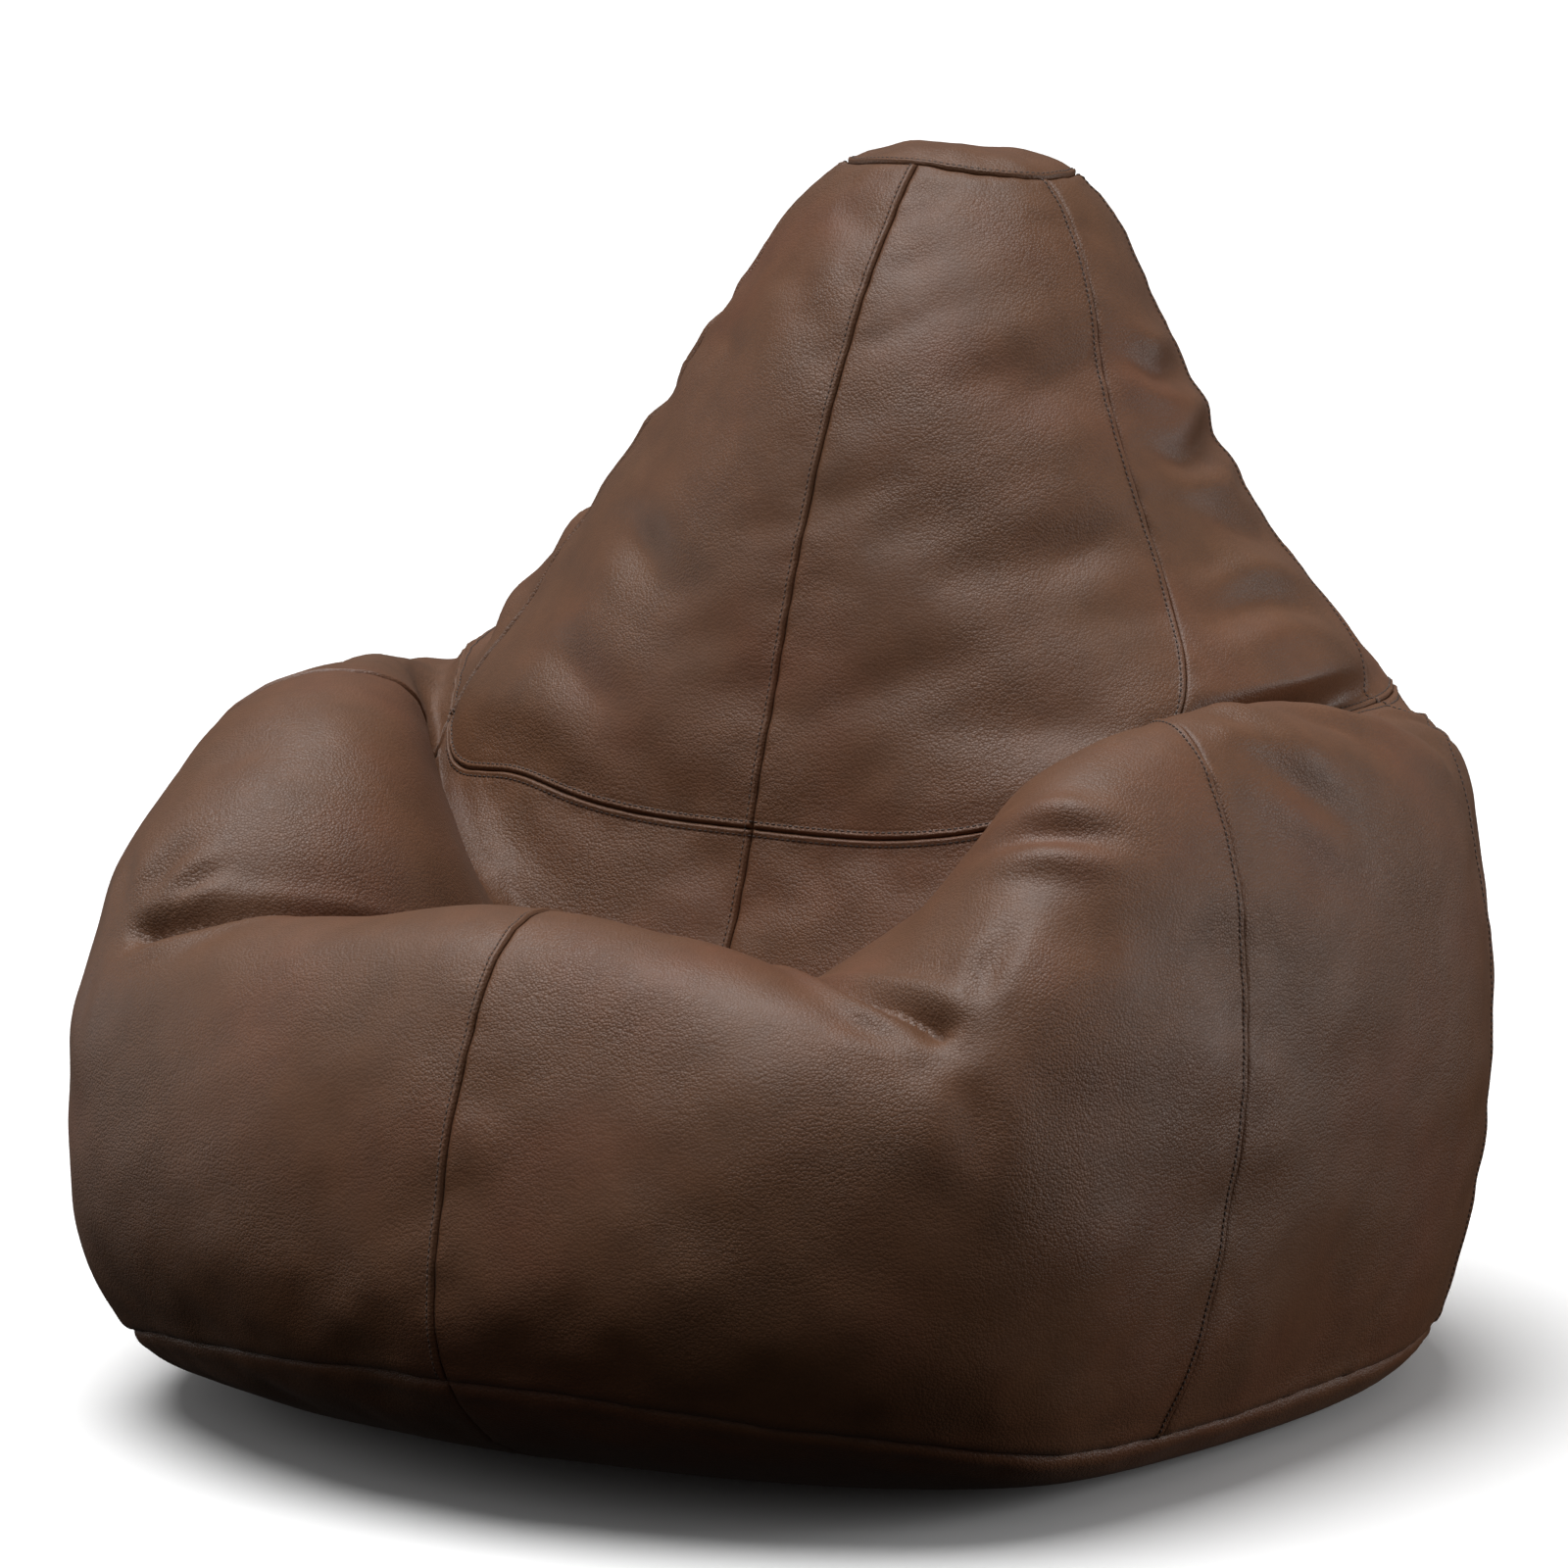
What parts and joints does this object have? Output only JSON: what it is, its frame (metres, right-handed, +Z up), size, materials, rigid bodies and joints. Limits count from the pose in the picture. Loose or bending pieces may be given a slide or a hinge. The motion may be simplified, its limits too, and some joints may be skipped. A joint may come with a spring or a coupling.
{
  "type": "bean bag chair",
  "caption": "Leather bean bag chair with a gored teardrop back, rolled arms and front, inner liner, bead filling and zips under the base.",
  "frame": {"origin": "on the floor, at the middle of the width and depth of the chair's box", "axes": "+Z up; the chair faces -Y, with its high back at +Y; +X is the right-hand side seen from in front, and the width runs along X"},
  "size_m": [0.868, 0.868, 0.765],
  "materials": {
    "leather": "pebbled brown full-grain leather with a satin sheen",
    "liner_cloth": "plain woven polyester lining",
    "beads": "expanded polystyrene beads",
    "zip_tape": "woven zip tape",
    "zip_teeth": "moulded plastic teeth",
    "zip_metal": "antique plated metal"
  },
  "bodies": {
    "bag": {"back_panel_front_left": "leather", "back_panel_front_right": "leather", "back_panel_rear_left": "leather", "back_panel_rear_right": "leather", "back_panel_side_left": "leather", "back_panel_side_right": "leather", "base_panel_left": "leather", "base_panel_right": "leather", "bead_fill": "beads", "cover_zip_end_stops": "zip_metal", "cover_zip_tape_left": "zip_tape", "cover_zip_tape_right": "zip_tape", "cover_zip_teeth_left": "zip_teeth", "cover_zip_teeth_right": "zip_teeth", "inner_liner_left": "liner_cloth", "inner_liner_right": "liner_cloth", "liner_zip_end_stops": "zip_metal", "liner_zip_tape_left": "zip_tape", "liner_zip_tape_right": "zip_tape", "liner_zip_teeth_left": "zip_teeth", "liner_zip_teeth_right": "zip_teeth", "lower_rear_panel_left": "leather", "lower_rear_panel_right": "leather", "lower_side_panel_left": "leather", "lower_side_panel_right": "leather", "seat_front_panel_left": "leather", "seat_front_panel_right": "leather", "top_cap": "leather"},
    "cover_zip_slider_body": {"cover_zip_slider": "zip_metal"},
    "liner_zip_slider_body": {"liner_zip_slider": "zip_metal"}
  },
  "joints": [
    {"name": "cover_zip_slide", "type": "slide", "parent": "bag", "child": "cover_zip_slider_body", "axis": [0, -1, 0], "range_m": [0, 0.346]},
    {"name": "liner_zip_slide", "type": "slide", "parent": "bag", "child": "liner_zip_slider_body", "axis": [0, -1, 0], "range_m": [0, 0.346]}
  ]
}
